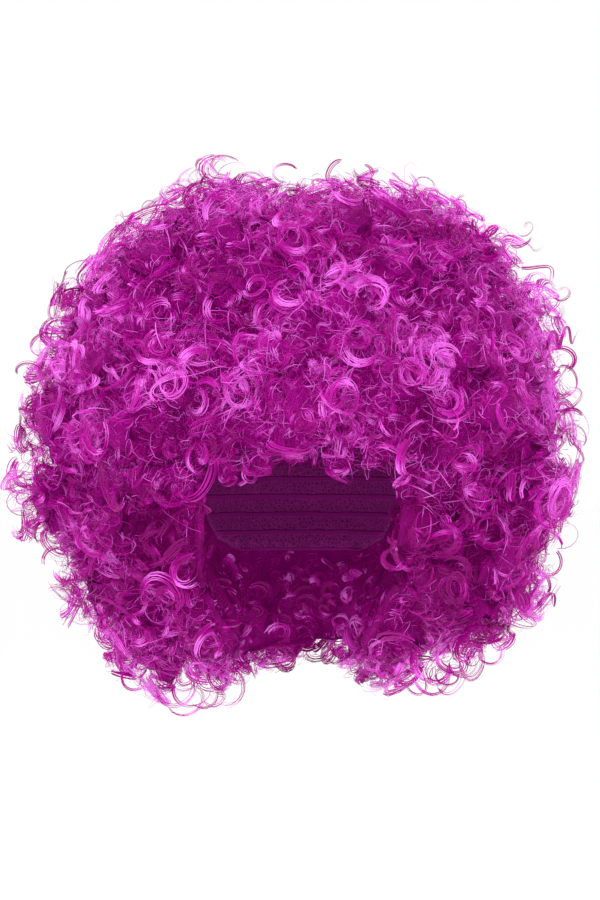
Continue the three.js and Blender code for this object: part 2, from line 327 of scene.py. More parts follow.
# Lines along a strand, as a mask for its colour and relief.
def fibreLines():
    group = bpy.data.node_groups.new("fibre lines", "ShaderNodeTree")
    group.interface.new_socket("Lay", in_out="INPUT", socket_type="NodeSocketVector")
    group.interface.new_socket("Lines", in_out="OUTPUT", socket_type="NodeSocketFloat")
    nodes, links = group.nodes, group.links
    start, end = nodes.new("NodeGroupInput"), nodes.new("NodeGroupOutput")
    stretch = nodes.new("ShaderNodeVectorMath")
    stretch.operation = "MULTIPLY"
    stretch.inputs[1].default_value = (fibreShape["across"], fibreShape["along"], 0)
    noise = nodes.new("ShaderNodeTexNoise")
    noise.noise_dimensions = "2D"
    noise.inputs["Scale"].default_value = 1
    noise.inputs["Detail"].default_value = fibreShape["detail"]
    noise.inputs["Roughness"].default_value = fibreShape["roughness"]
    links.new(start.outputs["Lay"], stretch.inputs[0])
    links.new(stretch.outputs["Vector"], noise.inputs["Vector"])
    links.new(noise.outputs["Fac"], end.inputs["Lines"])
    return group


dyeAndPaintedLight = dyeAndPaintedLightColour()
fibreMask = fibreLines()

# The surface of the curls
curlSurface = {
    "lines": 0.9,  # how strongly the fibres show in the tone
    "relief": 0.5,
    "depth": 0.0006,
    "painted shine": 0.1,  # painted glow: emission standing in for light that the thin hairs pass on to each other
    "roughness": 0.3,
    "specular": 0.14,
}


def curlMaterial():
    made, nodes, links, shader = newMaterial("curls")
    # The tone in lay carries the painted highlights and the painted light and shade of the strands
    lay = nodes.new("ShaderNodeAttribute")
    lay.attribute_name = "lay"
    split = nodes.new("ShaderNodeSeparateXYZ")
    fine = nodes.new("ShaderNodeGroup")
    fine.node_tree = fibreMask
    colour = nodes.new("ShaderNodeGroup")
    colour.node_tree = dyeAndPaintedLight
    mixed = nodes.new("ShaderNodeMath")
    mixed.operation = "MULTIPLY_ADD"
    mixed.inputs[1].default_value = curlSurface["lines"]
    shifted = nodes.new("ShaderNodeMath")
    shifted.operation = "SUBTRACT"
    shifted.inputs[1].default_value = curlSurface["lines"] / 2
    bump = nodes.new("ShaderNodeBump")
    bump.inputs["Strength"].default_value = curlSurface["relief"]
    bump.inputs["Distance"].default_value = curlSurface["depth"]
    links.new(lay.outputs["Vector"], fine.inputs["Lay"])
    links.new(lay.outputs["Vector"], split.inputs["Vector"])
    links.new(split.outputs["Z"], shifted.inputs[0])
    links.new(fine.outputs["Lines"], mixed.inputs[0])
    links.new(shifted.outputs["Value"], mixed.inputs[2])
    links.new(mixed.outputs["Value"], colour.inputs["Tone"])
    links.new(colour.outputs["Colour"], shader.inputs["Base Color"])
    links.new(fine.outputs["Lines"], bump.inputs["Height"])
    links.new(bump.outputs["Normal"], shader.inputs["Normal"])
    # Painted glow in the hair's own colour
    links.new(colour.outputs["Colour"], shader.inputs["Emission Color"])
    shader.inputs["Emission Strength"].default_value = curlSurface["painted shine"]
    shader.inputs["Roughness"].default_value = curlSurface["roughness"]
    shader.inputs["Specular IOR Level"].default_value = curlSurface["specular"]
    return made


# The surface of the mass behind the curls
massSurface = {
    "swirl scale": 55,
    "swirl": 0.035,  # how far the fibre lines are turned aside
    "line scale": 260,
    "distortion": 5,
    "lines": 0.55,  # how strongly the fibre lines show in the tone
    "relief": 0.8,
    "depth": 0.0012,
    "painted glow": 0.13,  # painted glow: emission standing in for light that the hair passes on
    "roughness": 0.7,
    "specular": 0.1,
}


def massMaterial():
    made, nodes, links, shader = newMaterial("mass")
    place = nodes.new("ShaderNodeTexCoord")
    swirl = nodes.new("ShaderNodeTexNoise")
    swirl.inputs["Scale"].default_value = massSurface["swirl scale"]
    swirl.inputs["Detail"].default_value = 1
    mix = nodes.new("ShaderNodeMix")
    mix.data_type = "VECTOR"
    mix.inputs["Factor"].default_value = massSurface["swirl"]
    links.new(place.outputs["Object"], swirl.inputs["Vector"])
    links.new(place.outputs["Object"], mix.inputs["A"])
    links.new(swirl.outputs["Color"], mix.inputs["B"])
    matted = nodes.new("ShaderNodeTexWave")
    matted.inputs["Scale"].default_value = massSurface["line scale"]
    matted.inputs["Distortion"].default_value = massSurface["distortion"]
    matted.inputs["Detail"].default_value = 2
    matted.inputs["Detail Scale"].default_value = 1.5
    links.new(mix.outputs["Result"], matted.inputs["Vector"])
    scaled = nodes.new("ShaderNodeMath")
    scaled.operation = "MULTIPLY_ADD"
    scaled.inputs[1].default_value = massSurface["lines"]
    # The tone from the mesh carries the painted light and shade of the place
    lay = nodes.new("ShaderNodeAttribute")
    lay.attribute_name = "lay"
    split = nodes.new("ShaderNodeSeparateXYZ")
    links.new(lay.outputs["Vector"], split.inputs["Vector"])
    links.new(split.outputs["Z"], scaled.inputs[2])
    links.new(matted.outputs["Fac"], scaled.inputs[0])
    colour = nodes.new("ShaderNodeGroup")
    colour.node_tree = dyeAndPaintedLight
    links.new(scaled.outputs["Value"], colour.inputs["Tone"])
    links.new(colour.outputs["Colour"], shader.inputs["Base Color"])
    bump = nodes.new("ShaderNodeBump")
    bump.inputs["Strength"].default_value = massSurface["relief"]
    bump.inputs["Distance"].default_value = massSurface["depth"]
    links.new(matted.outputs["Fac"], bump.inputs["Height"])
    links.new(bump.outputs["Normal"], shader.inputs["Normal"])
    # Painted glow in the hair's own colour
    links.new(colour.outputs["Colour"], shader.inputs["Emission Color"])
    shader.inputs["Emission Strength"].default_value = massSurface["painted glow"]
    shader.inputs["Roughness"].default_value = massSurface["roughness"]
    shader.inputs["Specular IOR Level"].default_value = massSurface["specular"]
    return made


# The cap: its longest edge in metres, and its net with the sewn rows of hair
capShape = {
    "edge": 0.009,
    "net scale": 420,
    "thread": (0.46, 0.03, 0.36, 1),
    "mesh": (0.2, 0.008, 0.15, 1),
    "thread width": 0.22,  # as a share of a mesh of the net
    "row scale": 26,
    "row waviness": 0.4,
    "row starts": 0.78,  # where in a row's wave its band starts and is full
    "row full": 0.9,
    "row": (0.36, 0.008, 0.28, 1),
    "relief": 0.7,
    "depth": 0.0015,
    "roughness": 0.85,
    "specular": 0.2,
}


# The net of the cap, with the sewn rows of hair as raised bands.
def capMaterial():
    made, nodes, links, shader = newMaterial("cap net")
    place = nodes.new("ShaderNodeTexCoord")
    net = nodes.new("ShaderNodeTexVoronoi")
    net.feature = "DISTANCE_TO_EDGE"
    net.inputs["Scale"].default_value = capShape["net scale"]
    rows = nodes.new("ShaderNodeTexWave")
    rows.bands_direction = "Z"
    rows.inputs["Scale"].default_value = capShape["row scale"]
    rows.inputs["Distortion"].default_value = capShape["row waviness"]
    rows.inputs["Detail Scale"].default_value = 3
    links.new(place.outputs["Object"], net.inputs["Vector"])
    links.new(place.outputs["Object"], rows.inputs["Vector"])
    band = nodes.new("ShaderNodeValToRGB")
    band.color_ramp.elements[0].position = capShape["row starts"]
    band.color_ramp.elements[1].position = capShape["row full"]
    links.new(rows.outputs["Fac"], band.inputs["Fac"])
    ramp = nodes.new("ShaderNodeValToRGB")
    ramp.color_ramp.elements[0].color = capShape["thread"]
    ramp.color_ramp.elements[1].color = capShape["mesh"]
    ramp.color_ramp.elements[1].position = capShape["thread width"]
    links.new(net.outputs["Distance"], ramp.inputs["Fac"])
    mix = nodes.new("ShaderNodeMix")
    mix.data_type = "RGBA"
    mix.inputs["B"].default_value = capShape["row"]
    links.new(band.outputs["Color"], mix.inputs["Factor"])
    links.new(ramp.outputs["Color"], mix.inputs["A"])
    links.new(mix.outputs["Result"], shader.inputs["Base Color"])
    bump = nodes.new("ShaderNodeBump")
    bump.inputs["Strength"].default_value = capShape["relief"]
    bump.inputs["Distance"].default_value = capShape["depth"]
    links.new(band.outputs["Color"], bump.inputs["Height"])
    links.new(bump.outputs["Normal"], shader.inputs["Normal"])
    shader.inputs["Roughness"].default_value = capShape["roughness"]
    shader.inputs["Specular IOR Level"].default_value = capShape["specular"]
    return made


curlLook = curlMaterial()
massLook = massMaterial()
capLook = capMaterial()


# Points spread over the chosen faces by area, with the directions out of the hair there.
def rootsOn(points, faces, chosen, count, rng):
    normal, area = normalsAndAreas(points, faces)
    weight = np.where(chosen, area, 0)
    pick = rng.choice(len(faces), size=count, p=weight / weight.sum())
    a, b, c = (points[faces[pick, i]] for i in range(3))
    u, v = rng.random((2, count, 1))
    flip = u + v > 1
    u, v = np.where(flip, 1 - u, u), np.where(flip, 1 - v, v)
    place = a + (b - a) * u + (c - a) * v
    return place, normal[pick]


# The strands of a curl. The lengths are in metres.
strand = {
    "latest start": 0.1,  # where strands start and end, as shares of the curl
    "earliest end": 0.8,
    "uneven": 0.14,  # how unevenly they lie side by side, as a share of the half width
    "flattest": 0.66,  # how flat a curl may be squashed
    "wander": 0.0012,  # how far a curl leaves its helix
    "root": 0.5,  # its width at the root as a share of the full one, and how fast it grows
    "growth": 1.6,
    "gathered": 0.55,  # how much narrower it is at its tip
    "twist": 0.6,  # radians that its face turns by to the tip
    "dome": 0.4,  # how far the outer strands lie back, as a share of the half width
    "fan": 0.5,  # how far their faces turn outwards
    "depth": 0.0002,  # how far strands lie before or behind each other
    "overlap": 1.05,  # how wide a strand is, against its share of the curl's width
    "point": 0.8,  # how much narrower it is at its tip
    "uneven tone": 0.09,
    "tip": 0.1,  # how much paler a strand is at its tip than at its root
    "painted highlight": 0.72,  # how much paler the painted highlight arcs make a strand
    "dull": 0.13,  # how much darker it is everywhere, to make up for the painted highlight
}


# Curls that wind round their axes from a foot, as strands that lie side by side across them.
def curlsFrom(rng, centre, away, axis, foot, tone, curl):
    count, strands = len(centre), curl["strands"]
    total = count * strands

    def each(values):
        values = np.repeat(values, strands, axis=0)
        return values[:, None, None] if values.ndim == 1 else values[:, None]

    t = np.linspace(0, 1, curl["steps"] + 1)[None, :, None]
    first = rng.uniform(0, strand["latest start"], total)[:, None, None]
    last = rng.uniform(strand["earliest end"], 1, total)[:, None, None]
    t = first + (last - first) * t
    share = np.zeros(total)
    if strands > 1:
        share = np.tile(np.linspace(-1, 1, strands), count) + rng.normal(0, strand["uneven"], total)
    share = share[:, None, None]
    squash = each(rng.uniform(strand["flattest"], 1.0, count))
    angle = 2 * math.pi * each(curl["turns"]) * t
    out = each(foot) * np.cos(angle) + each(np.cross(axis, foot)) * np.sin(angle) * squash
    reach = each(curl["radius"]) * (1 + (each(curl["narrowing"]) - 1) * t)
    path = each(centre) + out * reach + each(axis) * each(curl["rise"]) * (t - 0.5)
    wander = strand["wander"] if strands > 1 else curl["fray"]
    path = path + each(rng.normal(size=(count, 3)) * wander) * t**2
    path = path + each(rng.normal(size=(count, 3)) * wander) * np.sin(math.pi * 2 * t)
    turned = each(curl["roll"]) + strand["twist"] * t
    flat = each(axis) * np.cos(turned) + unit(out) * np.sin(turned)
    across = unit(np.cross(flat, np.gradient(path, axis=1)))
    half = each(curl["half"])
    body = np.minimum(1, strand["root"] + strand["growth"] * t) * (1 - strand["gathered"] * t**3)
    path = path + across * share * half * body - flat * share**2 * half * strand["dome"]
    if strands > 1:
        path = path + rng.normal(size=(total, 1, 3)) * curl["fray"] * t**2
        path = path + flat * rng.normal(0, strand["depth"], (total, 1, 1))
    flat = unit(flat + across * share * strand["fan"])
    flat = flat * np.where(np.sum(flat * each(away), axis=(1, 2), keepdims=True) < 0, -1, 1)
    wide = half * strand["overlap"] / strands if strands > 1 else half
    wide = wide * (1 - strand["point"] * t**4)
    # Painted highlight arcs, paler tone at a random place round each curl
    paintedHighlight = np.maximum(0, np.cos(angle + each(rng.uniform(0, 2 * math.pi, count)))) ** 3
    tones = each(tone) + rng.normal(0, strand["uneven tone"], (total, 1, 1))
    tones = tones + strand["tip"] * (t - 0.4) + strand["painted highlight"] * paintedHighlight - strand["dull"]
    start = rng.uniform(0, 500, total)
    return stripsAlong(path, flat, wide[..., 0], tones[..., 0], start)


# How far the axes of the kinds stray, lean with their clump, or turn out of the hair
straying = {"facing": 0.45, "hanging": 0.6, "standing": 0.2}
leaning = {"hanging": 0.5}
outward = {"hanging": 0.35, "foot": -0.4, "any": 0.3}


# The axis that a curl winds round and its foot, from the way that its kind stands.
def aimed(way, away, lean, rng):
    loose = rng.normal(size=away.shape)
    axis = unit(away + straying["facing"] * loose)
    if way == "hanging":
        down = np.array([0, 0, -1.0]) + straying["hanging"] * loose + leaning["hanging"] * lean
        down = down - away * np.sum(down * away, axis=1, keepdims=True)
        axis = unit(down + outward["hanging"] * away)
    if way == "standing":
        axis = unit(np.cross(away, loose) + straying["standing"] * loose)
        return axis, unit(np.cross(away, axis) + outward["foot"] * away)
    if way == "any":
        axis = unit(loose + outward["any"] * away)
    return axis, unit(np.cross(axis, rng.normal(size=away.shape)))


# One kind of curl with a value of its own for each copy.
def drawn(kind, count, rng):
    return {n: rng.uniform(*v, count) if isinstance(v, tuple) else v for n, v in kinds[kind].items()}


# Which of the places are the middles of clumps, spread over the whole wig once, so that the
# clumps cross the seams.
def clumpMiddles(places, spacing, rng):
    kept = []
    for i in rng.permutation(len(places)):
        if all(np.sum((places[i] - places[j]) ** 2) > spacing**2 for j in kept):
            kept.append(i)
    return np.array(kept)


masses = {}
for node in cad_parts:
    if node == "cap":
        continue
    points, faces = pointsAndFaces(dividedCopy(node, hair["edge"]))
    rounded, outer = roundedMass(points, faces, seed=5)
    masses[node] = (rounded, faces, outer)
    print("mass", node, len(faces))

# How the clumps are spread: places tried on each tier, and distances as shares of the spacing
spreading = {"tries": 900, "least": 0.82, "reach": 0.62}

rng = np.random.default_rng(20)
everywhere = np.concatenate([rootsOn(*masses[n], spreading["tries"], rng)[0] for n in masses])
middles = clumpMiddles(everywhere, hair["clump"] * spreading["least"], rng)
clumps = everywhere[middles]
clumpTier = np.array(list(masses))[middles // spreading["tries"]]
clumpTone = rng.normal(0, hair["uneven"], len(clumps))
clumpSpin = rng.choice([-1, 1], len(clumps))
clumpLean = rng.normal(0, 1, (len(clumps), 3))
print("clumps", len(clumps))


# The clump that each place belongs to, and how near its middle it is: 1 there, below 0 between
# clumps.
def nearestClump(places):
    gaps = np.linalg.norm(places[:, None] - clumps[None], axis=2)
    which = gaps.argmin(axis=1)
    reach = hair["clump"] * spreading["reach"]
    return which, np.clip(1 - (gaps.min(axis=1) / reach) ** 2, -0.25, 1)


# The opening for the face, at its widest and where it narrows towards the neck
faceOpening = {
    "halfWidth": 0.066,
    "neckHalfWidth": 0.043,
    "top": -0.106,
    "jaw": -0.177,
    "neck": -0.228,
    "back": 0.02,
}

# Where the tiers' inner walls lie bare: heights and depths in metres
bareWalls = {
    "middle depth": 0.012,  # of the head
    "facing in": 0.5,  # how far a bare face looks inwards or downwards, as a share of 1
    "facing down": -0.6,
    "top": -0.108,
    "nape front": 0.035,  # behind this the cap covers them down to its nape edge
    "nape edge": -0.166,
    "ear front": -0.045,  # between these it covers them down to its ear tabs' edge
    "ear back": 0.01,
    "ear edge": -0.135,
    "forehead back": -0.06,
    "forehead half width": 0.058,
    "forehead top": -0.08,
}


# The faces of a tier's inner walls that show through the openings for the face and neck.
def wallsOf(points, faces):
    normal, _ = normalsAndAreas(points, faces)
    centre = points[faces].mean(axis=1)
    inward = np.array([0.0, bareWalls["middle depth"], 0.0]) - centre
    inward[:, 2] = 0
    x, y, z = centre.T
    inside = np.sum(normal * unit(inward), axis=1) > bareWalls["facing in"]
    atNape = (y > bareWalls["nape front"]) & (z > bareWalls["nape edge"])
    atEar = (y > bareWalls["ear front"]) & (y < bareWalls["ear back"]) & (z > bareWalls["ear edge"])
    atForehead = (y < bareWalls["forehead back"]) & (np.abs(x) < bareWalls["forehead half width"])
    below = (normal[:, 2] < bareWalls["facing down"]) & (z < bareWalls["forehead top"])
    return (inside & (z < bareWalls["top"]) & ~atNape & ~atEar) | (below & atForehead)


# Curls beside the face are kept out of its opening.
def besideFace(centre, reach):
    x, y, z = centre.T
    narrowed = np.clip((faceOpening["jaw"] - z) / (faceOpening["jaw"] - faceOpening["neck"]), 0, 1)
    limit = faceOpening["halfWidth"] * (1 - narrowed) + faceOpening["neckHalfWidth"] * narrowed
    least = limit + reach
    beside = (z < faceOpening["top"]) & (y < faceOpening["back"]) & (np.abs(x) < least)
    moved = centre.copy()
    moved[:, 0] = np.where(beside, np.sign(x) * least, x)
    return moved


# Painted light and shade in the tone at each place: amounts of tone, and places and spreads in
# metres
paintedShading = {
    "below": 0.13,  # painted shade: how much darker the hair is low down
    "even height": -0.10,
    "even spread": 0.12,
    "painted shade beside face": 0.3,  # painted shade: how much darker it is beside the face
    "face side": 0.08,
    "face side spread": 0.035,
    "face height": -0.15,
    "face height spread": 0.05,
    "face depth": 0.04,
    "outline": 0.23,  # painted light: how much paler it is at the outline
    "outline middle": -0.08,
    "outline start": 0.13,
    "outline spread": 0.045,
}


# Painted shade low down and beside the face and painted light at the outline, as an amount of tone
def paintedLightAndShadeAt(place):
    x, y, z = place.T
    below = np.clip((z - paintedShading["even height"]) / paintedShading["even spread"], -1, 0.5)
    aside = (np.abs(x) - paintedShading["face side"]) / paintedShading["face side spread"]
    high = (z - paintedShading["face height"]) / paintedShading["face height spread"]
    beside = np.exp(-(aside**2) - high**2) * (y < paintedShading["face depth"])
    reach = np.hypot(x, z - paintedShading["outline middle"])
    outline = np.clip((reach - paintedShading["outline start"]) / paintedShading["outline spread"], 0, 1)
    return paintedShading["below"] * below - paintedShading["painted shade beside face"] * beside + paintedShading["outline"] * outline


# The curls and fibres of one tier as one mesh.
def curlsOf(node, look):
    rng = np.random.default_rng(look["seed"])
    points, faces, outer = masses[node]
    parts = []
    for kind in kinds:
        count = look.get(kind, 0)
        if kind == "whorls":
            mine = np.flatnonzero((clumpTier == node) & (clumps[:, 2] > look.get("hem", -1)))
            which = np.repeat(mine, count)
            count = len(which)
        if not count:
            continue
        curl = drawn(kind, count, rng)
        if kind == "whorls":
            place = clumps[which] + rng.normal(0, hair["scatter"], (count, 3))
            share = np.ones(count)
            away = unit(place - middle)
        else:
            chosen = wallsOf(points, faces) if kind == "lining" else outer
            if kind != "fibres":
                chosen = chosen & (points[faces].mean(axis=1)[:, 2] > look.get("hem", -1))
            place, away = rootsOn(points, faces, chosen, count, rng)
            which, share = nearestClump(place)
        height = curl["height"]
        if kind == "lining":
            share = share * 0
        elif kind != "whorls":
            away = away * hair["square"] + unit(place - middle)
            away = unit(away + hair["spread"] * unit(place - clumps[which]))
        if kind != "lining":
            height = height + hair["lift"] * share
        tone = hair["tone"] + curl["tone"] + clumpTone[which] + rng.normal(0, hair["uneven"], count)
        # Painted light on the middles of clumps and painted shade between them, and the painted
        # light and shade of the place
        tone = tone + hair["painted clump light"] * share + paintedLightAndShadeAt(place)
        tone = tone + hair["patches"] * waves(place, hair["patch spacing"], seed=7)
        axis, foot = aimed(curl["way"], away, clumpLean[which], rng)
        if kind == "whorls":
            stray = hair["whorl stray"] * rng.normal(size=axis.shape)
            axis = unit(away + hair["whorl lean"] * clumpLean[which] + stray)
            foot = unit(np.cross(axis, foot))
        if curl["way"] == "facing":
            axis = axis * clumpSpin[which][:, None]
            curl["rise"] = curl["rise"] * clumpSpin[which]
        centre = place + away * height[:, None]
        if kind != "lining":
            centre = besideFace(centre, (curl["radius"] + curl["half"]) * hair["clearance"])
        parts.append(curlsFrom(rng, centre, away, axis, foot, tone, curl))
    if look.get("charted"):
        parts.append(chartedCurls(*look["charted"], rng))
    if look.get("springs"):
        parts.append(chartedSprings(look["springs"], rng))
    return joined(parts)


# The charted curls: how far they stand before the hair in metres, their lean and their rise
charting = {"before": 0.006, "nearest": 60, "lean": 0.15, "rise": 0.008, "steps": 15}

# The springy locks: how their faces roll, in radians, and how they narrow to the tip
springing = {"roll": 1.3, "narrowing": 0.75, "strands": 4, "steps": 34, "fray": 0.0004}


# Places across and up, just before the front of the hair there.
def beforeMass(x, z):
    every = np.concatenate([masses[n][0] for n in masses])
    front = []
    for place in np.stack([x, z], axis=1):
        near = np.argsort(np.linalg.norm(every[:, [0, 2]] - place, axis=1))[: charting["nearest"]]
        front.append(every[near, 1].min())
    return np.stack([x, np.array(front) - charting["before"], z], axis=1)


# Single curls as seen from the front: places across and up, radius and half width in
# millimetres, turns, the angle of the foot in degrees, narrowing to the tip, roll and tone.
def chartedCurls(rows, strands, fray, rng):
    x, z, radius, half, turns, start, narrowing, roll, tone = np.array(rows, float).T
    count = len(rows)
    centre = beforeMass(x / 1000, z / 1000)
    toward = np.tile([0.0, -1.0, 0.0], (count, 1))
    axis = unit(toward + charting["lean"] * rng.normal(size=(count, 3)))
    start = np.radians(start)
    foot = np.stack([np.cos(start), np.zeros(count), np.sin(start)], axis=1)
    foot = unit(foot - axis * np.sum(foot * axis, axis=1, keepdims=True))
    curl = {"radius": radius / 1000, "half": half / 1000, "turns": turns}
    curl.update(narrowing=narrowing, roll=roll, rise=np.full(count, charting["rise"]))
    curl.update(strands=strands, steps=charting["steps"], fray=fray)
    return curlsFrom(rng, centre, toward, axis, foot, tone, curl)


# Springy locks that stand out of the outline: places across and up, radius, length and half
# width in millimetres, turns, the direction in degrees and tone.
def chartedSprings(rows, rng):
    x, z, radius, length, half, turns, way, tone = np.array(rows, float).T
    count = len(rows)
    centre = beforeMass(x / 1000, z / 1000)
    way = np.radians(way)
    axis = np.stack([np.cos(way), np.zeros(count), np.sin(way)], axis=1)
    toward = np.tile([0.0, -1.0, 0.0], (count, 1))
    curl = {"radius": radius / 1000, "half": half / 1000, "turns": turns, "rise": length / 1000}
    curl.update(roll=np.full(count, springing["roll"]), strands=springing["strands"])
    curl.update(narrowing=np.full(count, springing["narrowing"]), steps=springing["steps"])
    curl.update(fray=springing["fray"])
    return curlsFrom(rng, centre, toward, axis, toward, tone, curl)


# The charted curls of each tier, with the columns that chartedCurls and chartedSprings name
frontCurls = [
    (43, -23, 15, 4.2, -1.1, 100, 0.8, 0.2, 0.75),
    (-21, -13, 11, 3.0, 0.6, 60, 0.9, 0.4, 0.65),
    (-27, 6, 9, 2.6, 1.1, 200, 0.7, 0.3, 0.6),
    (-33, -34, 10, 1.6, 0.7, 80, 0.9, 0.5, 0.7),
    (-3, 36, 12, 3.2, 1.2, 150, 0.6, 0.4, 0.55),
    (24, 68, 10, 2.2, 0.7, 200, 0.8, 0.5, 0.6),
    (77, -47, 13, 2.2, 0.75, 60, 0.9, 0.4, 0.7),
    (60, 24, 11, 2.4, -0.8, 120, 0.8, 0.5, 0.6),
    (-64, -45, 12, 3.0, 0.8, 40, 0.8, 0.5, 0.65),
    (124, 38, 9, 3.0, 0.8, 60, 0.8, 0.4, 0.4),
    (118, 44, 7, 2.4, -0.9, 20, 0.8, 0.4, 0.5),
    (146, 47, 5.2, 0.5, 1.1, 200, 0.95, 0.4, 0.3),
    (142, 46, 11, 1.4, 0.3, 230, 0.95, 0.4, 0.5),
    (150, 41, 8, 0.4, 0.35, 200, 0.95, 0.4, 0.3),
    (149, 13, 13, 1.8, -0.42, 130, 0.95, 0.3, 0.5),
    (166, -2, 7, 0.6, 0.9, 100, 0.9, 0.4, 0.4),
    (168, 5, 5, 0.9, 1.0, 200, 0.9, 0.4, 0.55),
    (-10, 82, 8, 1.0, 0.8, 20, 0.9, 0.4, 0.5),
    (23, 84, 8, 2.2, 0.7, 60, 0.85, 0.4, 0.4),
    (40, 82, 6, 1.6, -0.8, 90, 0.85, 0.4, 0.45),
    (-48, 82, 10, 0.7, 0.6, 30, 0.95, 0.4, 0.5),
    (-70, 78, 9, 0.6, 0.9, 60, 0.9, 0.4, 0.5),
    (80, 72, 9, 0.6, 0.9, 10, 0.9, 0.4, 0.35),
    (-96, 57, 6.5, 0.5, 1.1, 250, 0.95, 0.4, 0.45),
    (-106, 42, 8, 1.0, -0.5, 170, 0.95, 0.3, 0.3),
    (-112, 45, 7, 0.4, 0.6, 330, 0.9, 0.4, 0.4),
    (-141, 18, 9, 0.4, -0.7, 210, 0.95, 0.4, 0.4),
    (-145, 8, 7, 0.4, 1.0, 300, 0.95, 0.4, 0.45),
    (-150, 0, 9, 0.5, -0.6, 200, 0.95, 0.4, 0.4),
    (-155, -8, 5, 1.0, 0.9, 0, 0.9, 0.4, 0.45),
    (-59, 81, 7, 1.0, -0.5, 170, 0.95, 0.3, 0.4),
    (-66, 77, 7, 0.4, 0.8, 300, 0.95, 0.4, 0.4),
    (-43, 80, 8, 0.3, -0.6, 200, 0.95, 0.4, 0.45),
    (100, 58, 6, 0.5, 0.9, 300, 0.95, 0.4, 0.4),
    (110, 52, 5, 0.8, -0.7, 160, 0.95, 0.4, 0.4),
    (119, 31, 8, 3.0, 0.8, 200, 0.85, 0.4, 0.4),
    (124, 27, 7, 2.6, -0.8, 90, 0.85, 0.4, 0.5),
    (115, 36, 7, 2.6, 0.7, 140, 0.85, 0.4, 0.35),
]
rightTempleCurls = [
    (-165, -28, 9, 1.6, 0.7, 60, 0.9, 0.4, 0.45),
    (-171, -46, 8, 1.2, -0.8, 200, 0.9, 0.4, 0.4),
    (-173, -64, 8, 1.4, 0.9, 120, 0.9, 0.5, 0.45),
]
leftTempleCurls = [
    (164, -38, 9, 1.8, 0.8, 300, 0.9, 0.4, 0.45),
    (168, -50, 9, 1.4, -0.8, 120, 0.9, 0.4, 0.4),
    (171, -62, 9, 1.2, 0.7, 240, 0.9, 0.5, 0.5),
    (172, -76, 9, 1.6, 0.9, 20, 0.9, 0.4, 0.45),
    (172, -86, 8, 0.5, 0.9, 300, 0.95, 0.4, 0.4),
    (170, -98, 9, 1.0, -0.7, 100, 0.9, 0.4, 0.4),
]
crownSprings = [
    (167, -24, 8, 26, 1.1, 2.8, -5, 0.3),
    (-106, 52, 5, 16, 0.8, 2.0, 140, 0.45),
]
leftSprings = [(159, -191, 6, 10, 1.2, 1.4, -20, 0.35)]
rightSprings = [(-128, -205, 5, 16, 0.8, 2.0, 215, 0.4)]
foreheadCurls = [
    (-67, -111, 15, 2.8, -0.5, 45, 0.95, 0.3, 0.6),
    (-60, -100, 12, 1.4, 0.7, 60, 0.8, 0.6, 0.5),
    (-50, -96, 9, 2.2, 0.8, 160, 0.8, 0.4, 0.45),
    (-36, -91, 12, 0.7, 1.0, 20, 0.85, 0.7, 0.3),
    (-42, -109, 6, 0.9, 0.6, 100, 0.9, 0.7, 0.3),
    (-31, -111, 5, 1.4, 1.2, 90, 0.8, 0.6, 0.7),
    (-35, -115, 4, 1.0, -1.1, 40, 0.9, 0.8, 0.6),
    (-25, -95, 3.2, 0.7, 1.1, 0, 0.9, 0.4, 0.25),
    (-39, -102, 8, 0.8, -0.6, 60, 0.9, 0.7, 0.35),
    (-8, -88, 12, 4.4, 0.5, 190, 0.95, 0.9, 0.4),
    (-2, -92, 9, 3.8, 0.5, 200, 0.95, 0.9, 0.55),
    (-12, -93, 8, 3.0, 0.5, 170, 0.95, 0.9, 0.35),
    (23, -94, 5.5, 2.2, -0.85, 160, 0.9, 0.3, 0.55),
    (9.5, -101, 3.6, 0.9, 1.1, 60, 0.9, 0.5, 0.5),
    (17, -97, 4.4, 1.6, 0.6, 200, 0.9, 0.5, 0.8),
    (30, -106, 11, 3.0, 0.28, 165, 0.95, 0.7, 0.5),
    (38, -80, 12, 2.0, 0.6, 150, 0.95, 0.5, 0.3),
    (40, -95, 11, 0.3, 0.8, 200, 0.95, 0.6, 0.3),
    (52, -100, 6.8, 1.4, 0.75, 60, 0.95, 0.5, 0.3),
    (60, -97, 9, 2.0, 0.7, 100, 0.9, 0.6, 0.4),
    (61, -110, 7, 1.8, -0.8, 90, 0.9, 0.6, 0.35),
    (-22, -102, 9, 0.3, 0.9, 0, 0.9, 0.6, 0.5),
    (-46, -104, 8, 0.4, 0.9, 90, 0.9, 0.6, 0.5),
    (-28, -104, 7, 0.4, -1.1, 90, 0.9, 0.6, 0.6),
    (-27, -104, 7, 2.6, 0.7, 170, 0.8, 0.6, 0.5),
    (-24, -106, 5, 1.8, -0.8, 20, 0.8, 0.6, 0.45),
    (-45, -110, 6, 1.8, 0.7, 100, 0.8, 0.7, 0.4),
    (-43, -114, 4, 1.4, -0.9, 60, 0.8, 0.8, 0.5),
    (23, -105, 7, 2.6, 0.6, 170, 0.8, 0.6, 0.5),
    (27, -109, 5, 1.6, -0.8, 40, 0.8, 0.6, 0.6),
]
